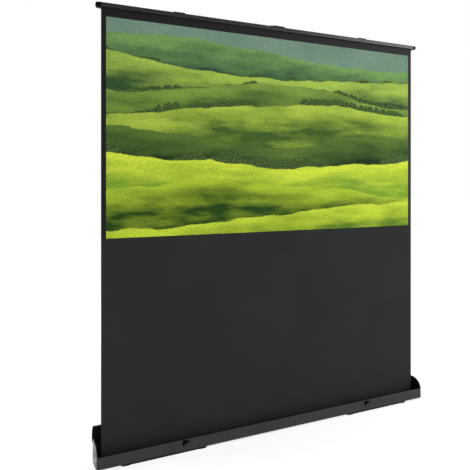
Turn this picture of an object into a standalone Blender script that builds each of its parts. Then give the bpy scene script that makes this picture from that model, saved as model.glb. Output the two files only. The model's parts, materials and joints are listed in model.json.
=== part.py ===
"""Portable floor-standing pull-up projector screen, raised, with its lid open and its feet stowed.

Metres, +Z up. X runs along the case, Y runs from the front of the case to its back. The floor is at
Z = 0, and the origin is under the middle of the screen. Depths are counted from the front face of the
case, heights from the floor.
"""

import math

import bmesh
import bpy
from mathutils import Vector

for old in list(bpy.data.objects):
    bpy.data.objects.remove(old, do_unlink=True)

# clearances
SEAT = 0.0003  # between pieces that touch
RUN = 0.0005  # between faces that slide past each other
OVERRUN = 0.004  # how far a cutter passes the face that it cuts
MERGE = 0.000001  # points closer than this are one point

# facets
ROUND_STEPS = 20  # small turned pieces
TUBE_STEPS = 36  # the roller and its cloth
CORNER_STEPS = 4  # a small rounded corner
CURVE_STEPS = 14  # the long front curve of the lid

# picture and cloth
PICTURE_WIDTH = 1.771
PICTURE_HEIGHT = 0.996
PICTURE_BOTTOM = 1.0145
SIDE_BORDER = 0.023
TOP_BORDER = 0.038
CLOTH_THICKNESS = 0.00035
COATING_THICKNESS = 0.0002
CLOTH_DEPTH = 0.050
CLOTH_WRAPS = 3

# case
CASE_UNDERSIDE = 0.0055
CASE_TOP = 0.1155
CASE_WALL = 0.0022
CASE_CORNER = 0.010
CASE_END_GAP = 0.026  # cloth edge to the inner face of an end cap
FRONT_TOP = 0.0633
FRONT_EDGE_RADIUS = 0.0012
LEDGE_WIDTH = 0.0035
LEDGE_THICKNESS = 0.003
REAR_CORNER = 0.008
FLAT_TOP = 0.014  # between the front curve of the lid and its rear corner
WELL = 0.0061  # between the rail and the screw channels on the back wall

# screw channels for the end caps
CHANNEL_OUTER = 0.0032
CHANNEL_INNER = 0.0018
CHANNEL_LIFT = 0.0022  # centre of the channel from the wall that carries it
CHANNEL_SLOT = math.radians(28)  # half of the slot
CHANNEL_FRONT_LOW = 0.0205
CHANNEL_FRONT_HIGH = 0.0405
CHANNEL_REAR_LOW = 0.0245
CHANNEL_REAR_HIGH = 0.0660

# end caps of the case
CAP_WALL = 0.0030
CAP_EDGE = 0.0012
CAP_RIB_LENGTH = 0.008
CAP_RIB_WALL = 0.0016
CAP_RIB_HEIGHT = 0.011
CAP_RIB_FRONT = 0.0455  # underside of the front rib
CAP_RIB_BACK = 0.039
SINK_RADIUS = 0.0028  # for a screw head
SINK_DEPTH = 0.0014

# hinge of the lid, a bead on the case in a socket on the lid
HINGE_OFFSET = 0.004  # behind the back wall
HINGE_HEIGHT = 0.0805
BEAD_RADIUS = 0.0032
NECK_THICKNESS = 0.002
SOCKET_WALL = 0.0018
SOCKET_GAP = 0.0004
SOCKET_FROM = math.radians(-42)
SOCKET_TO = math.radians(150)
SOCKET_STEPS = 12
LID_OPEN = math.radians(90)
LID_REVEAL = 0.0004
LID_END_GAP = 0.0008
LIP_WIDTH = 0.0032
LIP_THICKNESS = 0.002

# roller
TUBE_RADIUS = 0.015
TUBE_WALL = 0.0012
TUBE_OVERHANG = 0.0015  # past the cloth at each end
ROLLER_HEIGHT = 0.0316
PLUG_LENGTH = 0.020
PLUG_FLANGE = 0.002
STUB_RADIUS = 0.004
STUB_GAP = 0.0005
SHAFT_RADIUS = 0.0045
SHAFT_TAIL = 0.006
SPRING_RADIUS = 0.0085
SPRING_WIRE = 0.0009
SPRING_TURNS = 20
SPRING_PITCH = 0.0055
SPRING_POINTS = 9
COLLAR_RADIUS = 0.0105
COLLAR_LENGTH = 0.010
BRACKET_THICKNESS = 0.002
BRACKET_WIDTH = 0.022
BRACKET_FOOT = 0.014
BRACKET_GAP = 0.001  # between a plug's flange and its bracket

# scissor arms, in two planes behind the cloth
ARM_WIDTH = 0.018
ARM_THICKNESS = 0.004
ARM_STACK_GAP = 0.004  # between folded arms that lie over each other
FRONT_PLANE = 0.006  # behind the cloth
PIVOT_RADIUS = 0.004
BASE_PIVOT_HEIGHT = 0.030
PIVOT_INSET = 0.453  # fixed pivots, from the left end of the bar's extrusion
SLIDE_END = 0.009  # folded axle, from the right end of the bar's extrusion
PIN_HEAD_RADIUS = 0.007
PIN_HEAD = 0.0008
BACK_HEAD = 0.0013
COLLAR_STEP = 0.006

# wheels of the sliding ends, and the rails that hold them
WHEEL_RADIUS = 0.0065
WHEEL_WIDTH = 0.0058
JOURNAL_RADIUS = 0.003
RAIL_PLAY = 0.0003
RAIL_WALL = 0.0015
RAIL_LIP = 0.002
RAIL_LIP_WALL = 0.0012
RAIL_MARGIN = 0.020  # past the wheel at each end of its travel
RAIL_FOOT = 0.016
PIVOT_PLATE = 0.003
PIVOT_PLATE_WIDTH = 0.030
PIVOT_FOOT = 0.012
PIVOT_FOOT_THICKNESS = 0.002
PIVOT_BLOCK_LENGTH = 0.024

# top bar
BAR_HEIGHT = 0.0195
BAR_FRONT = 0.016  # in front of the cloth
BAR_END_GAP = 0.0015  # to the end caps of the case
BAR_CAP_LENGTH = 0.022
BAR_CAP_SPIGOT = 0.018
BAR_CORNER = 0.0025
BAR_SKIN = 0.0015
BAR_WALL = 0.0016
SLOT_WIDTH = 0.0016
KEYHOLE_RADIUS = 0.0032
KEYHOLE_HEIGHT = 0.0062
KEYHOLE_STEPS = 10
HEM_ROD_RADIUS = 0.0025
CAP_TIP_DEPTH_SHARE = 0.40
CAP_TIP_HEIGHT_SHARE = 0.70
CAP_TIP_PLACE_SHARE = 0.12  # of the bar's depth, where the tip draws in to
CAP_SHOULDER_DEPTH_SHARE = 0.86
CAP_SHOULDER_HEIGHT_SHARE = 0.98
CAP_SHOULDER_AT_SHARE = 0.70

# buffers and pull handle on the bar
BUFFER_X = 0.540
BUFFER_LENGTH = 0.056
BUFFER_WIDTH = 0.012
BUFFER_HEIGHT = 0.004
BUFFER_SETBACK = 0.003
BAIL_ROD = 0.002
BAIL_WIDTH = 0.082  # between the centres of its legs
BAIL_REACH = 0.020
BAIL_PIVOT_BACK = 0.010  # behind the cloth
BAIL_LIFT = 0.0034
BAIL_BEND = 0.0045
BAIL_TAIL = 0.010
SLEEVE_RADIUS = 0.003
SLEEVE_LENGTH = 0.060
MOUNT_LENGTH = 0.010
MOUNT_WIDTH = 0.012
MOUNT_HEIGHT = 0.007
MOUNT_HOLE = 0.0075

# latches
LATCH_X = 0.533
LATCH_HEIGHT = 0.052
LATCH_PLATE_DROP = 0.0035  # middle of the plate, below the pivot
LATCH_PLATE_WIDTH = 0.014
LATCH_PLATE_HEIGHT = 0.024
LATCH_PLATE_THICKNESS = 0.0015
LATCH_PIN_RADIUS = 0.002
LATCH_PIN_HEAD = 0.004
LATCH_HEAD_THICKNESS = 0.0008
LATCH_CLINCH_RADIUS = 0.003
LEVER_LENGTH = 0.022  # pivot to the middle of its notch
LEVER_THICKNESS = 0.003
LEVER_HUB = 0.0065
LEVER_TIP = 0.0048
KEEPER_NECK = 0.0015
KEEPER_HEAD = 0.0032
KEEPER_PLAY = 0.0004
KEEPER_HEAD_THICKNESS = 0.0012

# feet
FOOT_X = 0.620
FOOT_LENGTH = 0.420
FOOT_WIDTH = 0.084
FOOT_THICKNESS = 0.0025
FOOT_CORNER = 0.020
FOOT_RIVET = 0.004
FOOT_RIVET_HEAD = 0.009
FOOT_RIVET_HEAD_THICKNESS = 0.0012
PAD_LENGTH = 0.050
PAD_INSET = 0.0015
PAD_CORNER = 0.016

# places that follow from the sizes
CLOTH_HALF = PICTURE_WIDTH / 2 + SIDE_BORDER
INNER_HALF = CLOTH_HALF + CASE_END_GAP
FLOOR_TOP = CASE_UNDERSIDE + CASE_WALL
PLATE_FRONT = SEAT + LATCH_PLATE_THICKNESS
LEVER_FRONT = PLATE_FRONT + SEAT + LEVER_THICKNESS
LATCH_FRONT = LEVER_FRONT + SEAT + LATCH_HEAD_THICKNESS

BAR_BOTTOM = PICTURE_BOTTOM + PICTURE_HEIGHT + TOP_BORDER
BAR_TOP = BAR_BOTTOM + BAR_HEIGHT
BAR_HALF = INNER_HALF - BAR_END_GAP - BAR_CAP_LENGTH
BAR_PIVOT = BAR_HEIGHT - BAR_SKIN - RUN - ARM_WIDTH / 2
TOP_PIVOT_HEIGHT = BAR_BOTTOM + BAR_PIVOT

REAR_PLANE = FRONT_PLANE + ARM_THICKNESS + RUN
PINS_END = REAR_PLANE + ARM_THICKNESS
LIP_FRONT = PINS_END + RUN
WHEEL_FRONT = LIP_FRONT + RAIL_LIP_WALL + SEAT
RAIL_INSIDE = WHEEL_FRONT + WHEEL_WIDTH + RUN
RAIL_BACK = RAIL_INSIDE + RAIL_WALL
RAIL_HALF = WHEEL_RADIUS + RAIL_PLAY
BAR_BOX_BACK = FRONT_PLANE - SEAT - PIN_HEAD - SEAT

CHANNEL_REACH = CHANNEL_LIFT + CHANNEL_OUTER
CASE_DEPTH = CLOTH_DEPTH + RAIL_BACK + WELL + CHANNEL_REACH + CASE_WALL
CURVE_DEPTH = CASE_DEPTH - REAR_CORNER - FLAT_TOP
HINGE_DEPTH = CASE_DEPTH + HINGE_OFFSET
LID_BACK = HINGE_DEPTH + CASE_TOP - HINGE_HEIGHT
FRONT_Y = (LATCH_FRONT - LID_BACK) / 2
CLOTH_Y = FRONT_Y + CLOTH_DEPTH
HINGE_Y = FRONT_Y + HINGE_DEPTH

PIVOT_X = PIVOT_INSET - BAR_HALF
FOLDED_X = BAR_HALF - SLIDE_END
ARM_STACK = ARM_WIDTH + ARM_STACK_GAP
ARM_LENGTH = math.hypot(FOLDED_X - PIVOT_X, ARM_STACK)
STAGE_RISE = (TOP_PIVOT_HEIGHT - BASE_PIVOT_HEIGHT) / 2
RAISED_ANGLE = math.asin(STAGE_RISE / ARM_LENGTH)
RAISED_X = PIVOT_X + ARM_LENGTH * math.cos(RAISED_ANGLE)
ELBOW_HEIGHT = BASE_PIVOT_HEIGHT + STAGE_RISE

ROLL_RADIUS = TUBE_RADIUS + CLOTH_WRAPS * CLOTH_THICKNESS
ROLLER_Y = CLOTH_Y - CLOTH_THICKNESS / 2 - SEAT - ROLL_RADIUS
TUBE_HALF = CLOTH_HALF + TUBE_OVERHANG
PLUG_END = TUBE_HALF + SEAT + PLUG_FLANGE
BRACKET_X = PLUG_END + BRACKET_GAP


def material(name, colour, roughness, metallic=0.0):
    made = bpy.data.materials.new(name)
    made.use_nodes = True
    shader = made.node_tree.nodes["Principled BSDF"]
    shader.inputs["Base Color"].default_value = (*colour, 1)
    shader.inputs["Roughness"].default_value = roughness
    shader.inputs["Metallic"].default_value = metallic
    return made


BLACK_METAL = material("black_metal", (0.055, 0.055, 0.058), 0.45)
BAR_METAL = material("bar_metal", (0.065, 0.065, 0.070), 0.35)
GLOSS_PLASTIC = material("gloss_plastic", (0.020, 0.020, 0.022), 0.18)
BLACK_PLASTIC = material("black_plastic", (0.025, 0.025, 0.027), 0.50)
NYLON = material("nylon", (0.62, 0.61, 0.57), 0.55)
STEEL = material("steel", (0.55, 0.55, 0.56), 0.32, 1)
PAINTED_STEEL = material("painted_steel", (0.040, 0.040, 0.042), 0.40)
PAINTED_ALUMINIUM = material("painted_aluminium", (0.042, 0.042, 0.044), 0.40)
SPRING_STEEL = material("spring_steel", (0.30, 0.29, 0.28), 0.35, 1)
TUBE_METAL = material("tube_metal", (0.60, 0.60, 0.61), 0.40, 1)
RUBBER = material("rubber", (0.020, 0.020, 0.020), 0.85)
CLOTH = material("cloth", (0.028, 0.028, 0.030), 0.80)
PICTURE = material("picture", (0.30, 0.48, 0.13), 0.70)


def along_x(u, v, w):
    return (w, u, v)


def along_y(u, v, w):
    return (u, w, v)


def along_z(u, v, w):
    return (u, v, w)


def arc(u, v, radius, start, end, steps):
    """Points on a circle about (u, v), both ends included."""
    turn = (end - start) / steps
    angles = [start + turn * i for i in range(steps + 1)]
    return [(u + radius * math.cos(a), v + radius * math.sin(a)) for a in angles]


def circle(u, v, radius, steps=ROUND_STEPS):
    return arc(u, v, radius, 0, math.tau, steps)[:-1]


def rectangle(u0, u1, v0, v1):
    return [(u0, v0), (u1, v0), (u1, v1), (u0, v1)]


def rounded_box(u0, u1, v0, v1, radius, steps=CORNER_STEPS):
    """A rectangle with round corners, anticlockwise from its lower left."""
    corners = [(u0, v0, 1, 1, 2), (u1, v0, -1, 1, 3), (u1, v1, -1, -1, 0), (u0, v1, 1, -1, 1)]
    loop = []
    for u, v, to_right, to_up, quarter in corners:
        start = quarter * math.pi / 2
        loop += arc(u + to_right * radius, v + to_up * radius, radius, start, start + math.pi / 2, steps)
    return loop


def inset(loop, distance):
    """A closed anticlockwise loop, drawn in by a distance."""
    moved = []
    for before, here, after in zip(loop[-1:] + loop[:-1], loop, loop[1:] + loop[:1]):
        into = (Vector(here) - Vector(before)).normalized()
        out = (Vector(after) - Vector(here)).normalized()
        normal = Vector((-into.y - out.y, into.x + out.x)).normalized()
        reach = distance / max(normal.dot(Vector((-into.y, into.x))), 0.5)
        moved.append(tuple(Vector(here) + normal * reach))
    return moved


def shifted(loop, u, v):
    return [(a + u, b + v) for a, b in loop]


def ring(bm, loop, w, place):
    return [bm.verts.new(place(u, v, w)) for u, v in loop]


def wall(bm, first, second):
    for i in range(len(first)):
        bm.faces.new((first[i - 1], first[i], second[i], second[i - 1]))


def cap(bm, *rings):
    """Fills the first ring, leaving the others open."""
    edges = []
    for verts in rings:
        for i in range(len(verts)):
            pair = (verts[i - 1], verts[i])
            edges.append(bm.edges.get(pair) or bm.edges.new(pair))
    bmesh.ops.triangle_fill(bm, use_beauty=True, edges=edges)


def prism(loops, low, high, place):
    """A solid between two planes, with the first loop as its outline and the others as holes."""
    bm = bmesh.new()
    lower = [ring(bm, loop, low, place) for loop in loops]
    upper = [ring(bm, loop, high, place) for loop in loops]
    for first, second in zip(lower, upper):
        wall(bm, first, second)
    cap(bm, *lower)
    cap(bm, *upper)
    return bm


def turned(profile, place, steps=ROUND_STEPS, bored=False):
    """A solid of revolution. The profile's ends lie on the axis, or it is a closed loop round a bore."""
    bm = bmesh.new()
    verts = [bm.verts.new(place(radius, 0, along)) for radius, along in profile]
    edges = [bm.edges.new(pair) for pair in zip(verts, verts[1:])]
    if bored:
        edges.append(bm.edges.new((verts[-1], verts[0])))
    bmesh.ops.spin(bm, geom=verts + edges, axis=place(0, 0, 1), angle=math.tau, steps=steps, use_merge=True)
    bmesh.ops.remove_doubles(bm, verts=bm.verts[:], dist=MERGE)
    return bm


def smooth(mesh):
    mesh.shade_smooth()
    mesh.set_sharp_from_angle(angle=math.radians(35))


def add(name, bm, finish, at=(0, 0, 0), parent=None):
    """Makes a named object from a bmesh, with its origin at a place."""
    bmesh.ops.recalc_face_normals(bm, faces=bm.faces[:])
    mesh = bpy.data.meshes.new(name)
    bm.to_mesh(mesh)
    bm.free()
    smooth(mesh)
    mesh.materials.append(finish)
    made = bpy.data.objects.new(name, mesh)
    made.location = at
    made.parent = parent
    bpy.context.scene.collection.objects.link(made)
    return made


def copy_of(source, name, at, parent=None):
    made = bpy.data.objects.new(name, source.data)
    made.location = at
    made.parent = parent
    bpy.context.scene.collection.objects.link(made)
    return made


def empty(name, at, turn=0.0, axis=0, parent=None):
    made = bpy.data.objects.new(name, None)
    made.location = at
    made.rotation_euler[axis] = turn
    made.parent = parent
    bpy.context.scene.collection.objects.link(made)
    return made


def combine(target, name, bm, operation, at=(0, 0, 0), parent=None):
    """Cuts a shape out of an object, or joins it on."""
    tool = add(name, bm, target.data.materials[0], at, parent)
    tool.hide_render = True
    tool.display_type = "WIRE"
    modifier = target.modifiers.new(name, "BOOLEAN")
    modifier.operation = operation
    modifier.object = tool


def rod_curve(name, points, radius, finish, at, sides=2):
    """A round rod along points, with closed ends."""
    curve = bpy.data.curves.new(name, "CURVE")
    curve.dimensions = "3D"
    curve.bevel_depth = radius
    curve.bevel_resolution = sides
    curve.use_fill_caps = True
    line = curve.splines.new("POLY")
    line.points.add(len(points) - 1)
    for point, place in zip(line.points, points):
        point.co = (*place, 1)
    curve.materials.append(finish)
    made = bpy.data.objects.new(name, curve)
    made.location = at
    bpy.context.scene.collection.objects.link(made)
    return made


def screw_channel(u, v, along, inward):
    """The C-shaped channel for an end cap's screw, met while the inside of the case's section is walked."""
    foot = math.asin(CHANNEL_LIFT / CHANNEL_OUTER)
    top = math.pi / 2
    local = arc(0, 0, CHANNEL_OUTER, math.pi + foot, top + CHANNEL_SLOT, CORNER_STEPS)
    local += arc(0, 0, CHANNEL_INNER, top + CHANNEL_SLOT, top - CHANNEL_SLOT + math.tau, 2 * CORNER_STEPS)
    local += arc(0, 0, CHANNEL_OUTER, top - CHANNEL_SLOT, -foot, CORNER_STEPS)
    return [(u + a * along[0] + b * inward[0], v + a * along[1] + b * inward[1]) for a, b in local]


CHANNELS = {
    "rear_high": (CASE_DEPTH - CASE_WALL - CHANNEL_LIFT, CHANNEL_REAR_HIGH),
    "rear_low": (CASE_DEPTH - CASE_WALL - CHANNEL_LIFT, CHANNEL_REAR_LOW),
    "front_low": (CASE_WALL + CHANNEL_LIFT, CHANNEL_FRONT_LOW),
    "front_high": (CASE_WALL + CHANNEL_LIFT, CHANNEL_FRONT_HIGH),
}


def front_curve(start, wall_in=0.0):
    """The lid's long curve, from the front face up and back to the flat top: a quarter of an ellipse."""
    across = CURVE_DEPTH - wall_in
    rise = CASE_TOP - start - wall_in
    angles = [math.pi / 2 * i / CURVE_STEPS for i in range(CURVE_STEPS + 1)]
    return [(CURVE_DEPTH - across * math.cos(a), start + rise * math.sin(a)) for a in angles]


def rear_corner(radius):
    return arc(CASE_DEPTH - REAR_CORNER, CASE_TOP - REAR_CORNER, radius, math.pi / 2, 0, CORNER_STEPS)


def lower_corner(depth, radius, start, end):
    return arc(depth, CASE_UNDERSIDE + CASE_CORNER, radius, start, end, CORNER_STEPS)


def trough_section():
    inner = CASE_CORNER - CASE_WALL
    back = CASE_DEPTH - CASE_CORNER
    neck = math.asin(NECK_THICKNESS / 2 / BEAD_RADIUS)
    edge = FRONT_EDGE_RADIUS
    section = arc(edge, FRONT_TOP - edge, edge, math.pi / 2, math.pi, CORNER_STEPS)
    section += lower_corner(CASE_CORNER, CASE_CORNER, math.pi, 1.5 * math.pi)
    section += lower_corner(back, CASE_CORNER, 1.5 * math.pi, math.tau)
    section += [(CASE_DEPTH, HINGE_HEIGHT - NECK_THICKNESS / 2)]
    section += arc(HINGE_DEPTH, HINGE_HEIGHT, BEAD_RADIUS, neck - math.pi, math.pi - neck, SOCKET_STEPS)
    section += [(CASE_DEPTH - CASE_WALL, HINGE_HEIGHT + NECK_THICKNESS / 2)]
    section += screw_channel(*CHANNELS["rear_high"], (0, -1), (-1, 0))
    section += screw_channel(*CHANNELS["rear_low"], (0, -1), (-1, 0))
    section += lower_corner(back, inner, 0, -math.pi / 2)
    section += lower_corner(CASE_CORNER, inner, -math.pi / 2, -math.pi)
    section += screw_channel(*CHANNELS["front_low"], (0, 1), (1, 0))
    section += screw_channel(*CHANNELS["front_high"], (0, 1), (1, 0))
    section += [
        (CASE_WALL, FRONT_TOP - LEDGE_THICKNESS),
        (CASE_WALL + LEDGE_WIDTH, FRONT_TOP - LEDGE_THICKNESS),
        (CASE_WALL + LEDGE_WIDTH, FRONT_TOP),
    ]
    return section


def add_trough():
    half = INNER_HALF - SEAT
    section = shifted(trough_section(), FRONT_Y, 0)
    trough = add("case_trough", prism([section], -half, half, along_x), BLACK_METAL)
    for side, x in (("left", -1), ("right", 1)):
        drill = turned(rectangle(0, FOOT_RIVET + SEAT, -OVERRUN, OVERRUN), along_z)
        at = (x * FOOT_X, FRONT_Y + CASE_DEPTH / 2, CASE_UNDERSIDE)
        combine(trough, f"foot_hole_{side}", drill, "DIFFERENCE", at)
        drill = turned(rectangle(0, LATCH_PIN_RADIUS + SEAT, -OVERRUN, OVERRUN), along_y)
        combine(trough, f"latch_hole_{side}", drill, "DIFFERENCE", (x * LATCH_X, FRONT_Y, LATCH_HEIGHT))


def cap_outline():
    """The whole closed outline of the case, anticlockwise from the front face."""
    outline = lower_corner(CASE_CORNER, CASE_CORNER, math.pi, 1.5 * math.pi)
    outline += lower_corner(CASE_DEPTH - CASE_CORNER, CASE_CORNER, 1.5 * math.pi, math.tau)
    return outline + rear_corner(REAR_CORNER)[::-1] + front_curve(FRONT_TOP)[::-1]


def add_end_cap(side, facing):
    """A moulded plate as large as the closed case, with two ribs for the trough and four sunk screw holes."""
    outline = shifted(cap_outline(), FRONT_Y, 0)
    places = [(FRONT_Y + u, v) for u, v in CHANNELS.values()]
    holes = [circle(u, v, CHANNEL_INNER, 2 * CORNER_STEPS) for u, v in places]
    sinks = [circle(u, v, SINK_RADIUS, 3 * CORNER_STEPS) for u, v in places]
    front_rib = FRONT_Y + CASE_WALL + SEAT
    back_rib = FRONT_Y + CASE_DEPTH - CASE_WALL - SEAT - CAP_RIB_WALL
    ribs = [
        rectangle(y, y + CAP_RIB_WALL, low, low + CAP_RIB_HEIGHT)
        for y, low in ((front_rib, CAP_RIB_FRONT), (back_rib, CAP_RIB_BACK))
    ]
    bm = bmesh.new()

    def at(loop, x):
        return ring(bm, loop, facing * x, along_x)

    inner_edge, outer_edge = at(outline, 0), at(outline, CAP_WALL - CAP_EDGE)
    face = at(inset(outline, CAP_EDGE), CAP_WALL)
    inner_holes = [at(loop, 0) for loop in holes]
    outer_holes = [at(loop, CAP_WALL - SINK_DEPTH) for loop in holes]
    sink_floors = [at(loop, CAP_WALL - SINK_DEPTH) for loop in sinks]
    sink_mouths = [at(loop, CAP_WALL) for loop in sinks]
    rib_feet = [at(loop, 0) for loop in ribs]
    rib_ends = [at(loop, -CAP_RIB_LENGTH) for loop in ribs]
    wall(bm, inner_edge, outer_edge)
    wall(bm, outer_edge, face)
    for first, second in zip(inner_holes + sink_floors + rib_feet, outer_holes + sink_mouths + rib_ends):
        wall(bm, first, second)
    for end in rib_ends:
        cap(bm, end)
    for hole, floor in zip(outer_holes, sink_floors):
        cap(bm, floor, hole)
    cap(bm, inner_edge, *inner_holes, *rib_feet)
    cap(bm, face, *sink_mouths)
    add(f"end_cap_{side}", bm, GLOSS_PLASTIC, (facing * INNER_HALF, 0, 0))


def lid_section():
    """The closed lid's section: lip, long curve, flat top, back wall and the socket of the hinge."""
    lip = FRONT_TOP + LID_REVEAL
    inner = BEAD_RADIUS + SOCKET_GAP
    outer = inner + SOCKET_WALL
    meets = math.pi - math.acos(HINGE_OFFSET / outer)
    inside = CASE_DEPTH - CASE_WALL
    section = front_curve(lip) + rear_corner(REAR_CORNER)
    section += arc(HINGE_DEPTH, HINGE_HEIGHT, outer, meets, SOCKET_FROM, SOCKET_STEPS)
    section += arc(HINGE_DEPTH, HINGE_HEIGHT, inner, SOCKET_FROM, SOCKET_TO, SOCKET_STEPS)
    section += [(inside, HINGE_HEIGHT + inner * math.sin(SOCKET_TO))]
    section += rear_corner(REAR_CORNER - CASE_WALL)[::-1]
    section += front_curve(lip + LIP_THICKNESS, CASE_WALL)[::-1]
    section += [
        (CASE_WALL + LIP_WIDTH, lip + LIP_THICKNESS),
        (CASE_WALL + LIP_WIDTH, lip),
    ]
    return shifted(section, -HINGE_DEPTH, -HINGE_HEIGHT)


def add_lid():
    """The lid stands open. It is drawn closed about its hinge, and its empty turns it back."""
    hinge = empty("lid_hinge", (0, HINGE_Y, HINGE_HEIGHT), -LID_OPEN)
    half = INNER_HALF - LID_END_GAP
    lid = add("lid_shell", prism([lid_section()], -half, half, along_x), BLACK_METAL, parent=hinge)
    neck_front = LEVER_FRONT + SEAT + KEEPER_PLAY
    clinch = 2 * CASE_WALL
    stud = [
        (0, -neck_front - KEEPER_HEAD_THICKNESS),
        (KEEPER_HEAD, -neck_front - KEEPER_HEAD_THICKNESS),
        (KEEPER_HEAD, -neck_front),
        (KEEPER_NECK, -neck_front),
        (KEEPER_NECK, clinch),
        (KEEPER_HEAD, clinch),
        (KEEPER_HEAD, clinch + KEEPER_HEAD_THICKNESS),
        (0, clinch + KEEPER_HEAD_THICKNESS),
    ]
    for side, x in (("left", -LATCH_X), ("right", LATCH_X)):
        at = (x, -HINGE_DEPTH, LATCH_HEIGHT + LEVER_LENGTH - HINGE_HEIGHT)
        drill = turned(rectangle(0, KEEPER_NECK + SEAT, -OVERRUN, 2 * OVERRUN), along_y)
        combine(lid, f"keeper_hole_{side}", drill, "DIFFERENCE", at, hinge)
        add(f"lid_keeper_{side}", turned(stud, along_y), STEEL, at, hinge)


def add_roller():
    """The spring roller: tube, end plugs, the cloth still on it, and the spring round its fixed shaft."""
    inner = TUBE_RADIUS - TUBE_WALL
    at = (0, ROLLER_Y, ROLLER_HEIGHT)
    tube = rectangle(inner, TUBE_RADIUS, -TUBE_HALF, TUBE_HALF)
    add("roller_tube", turned(tube, along_x, TUBE_STEPS, bored=True), TUBE_METAL, at)
    wraps = rectangle(TUBE_RADIUS + SEAT, ROLL_RADIUS, -CLOTH_HALF, CLOTH_HALF)
    add("rolled_cloth", turned(wraps, along_x, TUBE_STEPS, bored=True), CLOTH, at)

    plug = inner - SEAT
    inside = TUBE_HALF - PLUG_LENGTH
    flange = TUBE_HALF + SEAT
    bore = SHAFT_RADIUS + SEAT
    left = [
        (bore, -inside), (plug, -inside), (plug, -flange),
        (TUBE_RADIUS, -flange), (TUBE_RADIUS, -PLUG_END), (bore, -PLUG_END),
    ]
    add("roller_plug_left", turned(left, along_x, TUBE_STEPS, bored=True), NYLON, at)
    stub_end = BRACKET_X + BRACKET_THICKNESS + BRACKET_GAP
    right = [
        (0, inside), (plug, inside), (plug, flange), (TUBE_RADIUS, flange), (TUBE_RADIUS, PLUG_END),
        (STUB_RADIUS, PLUG_END), (STUB_RADIUS, stub_end), (0, stub_end),
    ]
    add("roller_plug_right", turned(right, along_x, TUBE_STEPS), NYLON, at)

    start = SPRING_WIRE + SEAT - inside
    length = SPRING_TURNS * SPRING_PITCH
    count = SPRING_TURNS * SPRING_POINTS
    helix = []
    for i in range(count + 1):
        turn = math.tau * i / SPRING_POINTS
        place = (start + length * i / count, SPRING_RADIUS * math.cos(turn), SPRING_RADIUS * math.sin(turn))
        helix.append(place)
    rod_curve("roller_spring", helix, SPRING_WIRE, SPRING_STEEL, at, sides=1)
    collar_start = start + length + SPRING_WIRE + SEAT
    collar_end = collar_start + COLLAR_LENGTH
    collar = rectangle(bore, COLLAR_RADIUS, collar_start, collar_end)
    add("spring_collar", turned(collar, along_x, bored=True), STEEL, at)
    outside = -BRACKET_X - BRACKET_THICKNESS - SHAFT_TAIL
    shaft = rectangle(0, SHAFT_RADIUS, outside, collar_end + SHAFT_TAIL)
    add("spring_shaft", turned(shaft, along_x), STEEL, at)


def add_roller_bracket(side, facing, hole):
    """An upright plate with a foot on the floor of the case, which carries one end of the roller."""
    low = FLOOR_TOP + SEAT - ROLLER_HEIGHT
    width = BRACKET_WIDTH / 2
    outline = [(-width, low), (width, low)] + arc(0, 0, width, 0, math.pi, 3 * CORNER_STEPS)
    ends = sorted((0, facing * BRACKET_THICKNESS))
    at = (facing * BRACKET_X, ROLLER_Y, ROLLER_HEIGHT)
    bracket = add(f"roller_bracket_{side}", prism([outline, circle(0, 0, hole)], *ends, along_x), STEEL, at)
    foot = rectangle(-width, width, low, low + BRACKET_THICKNESS)
    ends = sorted((facing * BRACKET_THICKNESS / 2, facing * BRACKET_FOOT))
    combine(bracket, f"roller_bracket_foot_{side}", prism([foot], *ends, along_x), "UNION", at)


def rail_section():
    """The base rail: a channel open to the front, with lips, on an upright and a foot."""
    low = FLOOR_TOP + SEAT
    axle = BASE_PIVOT_HEIGHT
    lip = LIP_FRONT + RAIL_LIP_WALL
    return [
        (RAIL_BACK - RAIL_FOOT, low),
        (RAIL_BACK, low),
        (RAIL_BACK, axle + RAIL_HALF + RAIL_WALL),
        (LIP_FRONT, axle + RAIL_HALF + RAIL_WALL),
        (LIP_FRONT, axle + RAIL_HALF - RAIL_LIP),
        (lip, axle + RAIL_HALF - RAIL_LIP),
        (lip, axle + RAIL_HALF),
        (RAIL_INSIDE, axle + RAIL_HALF),
        (RAIL_INSIDE, axle - RAIL_HALF),
        (lip, axle - RAIL_HALF),
        (lip, axle - RAIL_HALF + RAIL_LIP),
        (LIP_FRONT, axle - RAIL_HALF + RAIL_LIP),
        (LIP_FRONT, axle - RAIL_HALF - RAIL_WALL),
        (RAIL_INSIDE, axle - RAIL_HALF - RAIL_WALL),
        (RAIL_INSIDE, low + RAIL_WALL),
        (RAIL_BACK - RAIL_FOOT, low + RAIL_WALL),
    ]


def add_base_supports():
    """The rail for the sliding end and the bracket for the fixed end, both on the floor of the case."""
    start = RAISED_X - RAIL_MARGIN
    end = FOLDED_X + RAIL_MARGIN
    add("base_rail", prism([shifted(rail_section(), CLOTH_Y, 0)], start, end, along_x), STEEL)

    low = FLOOR_TOP + SEAT - BASE_PIVOT_HEIGHT
    half = PIVOT_PLATE_WIDTH / 2
    front = REAR_PLANE + RUN / 2
    back = front + PIVOT_PLATE
    crown = arc(0, 0, ARM_WIDTH / 2, 0, math.pi, 2 * CORNER_STEPS)
    outline = [(-half, low), (half, low), (half, 0)] + crown + [(-half, 0)]
    at = (PIVOT_X, CLOTH_Y, BASE_PIVOT_HEIGHT)
    plate = prism([outline, circle(0, 0, PIVOT_RADIUS + SEAT)], front, back, along_y)
    bracket = add("base_pivot_bracket", plate, STEEL, at)
    foot = rectangle(-half, half, low, low + PIVOT_FOOT_THICKNESS)
    foot_start = back - PIVOT_PLATE / 2
    combine(bracket, "base_pivot_foot", prism([foot], foot_start, back + PIVOT_FOOT, along_y), "UNION", at)


def pin_profile(head_front, head_back, head_radius, end):
    return [(0, head_front), (head_radius, head_front), (head_radius, head_back),
            (PIVOT_RADIUS, head_back), (PIVOT_RADIUS, end), (0, end)]


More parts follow.
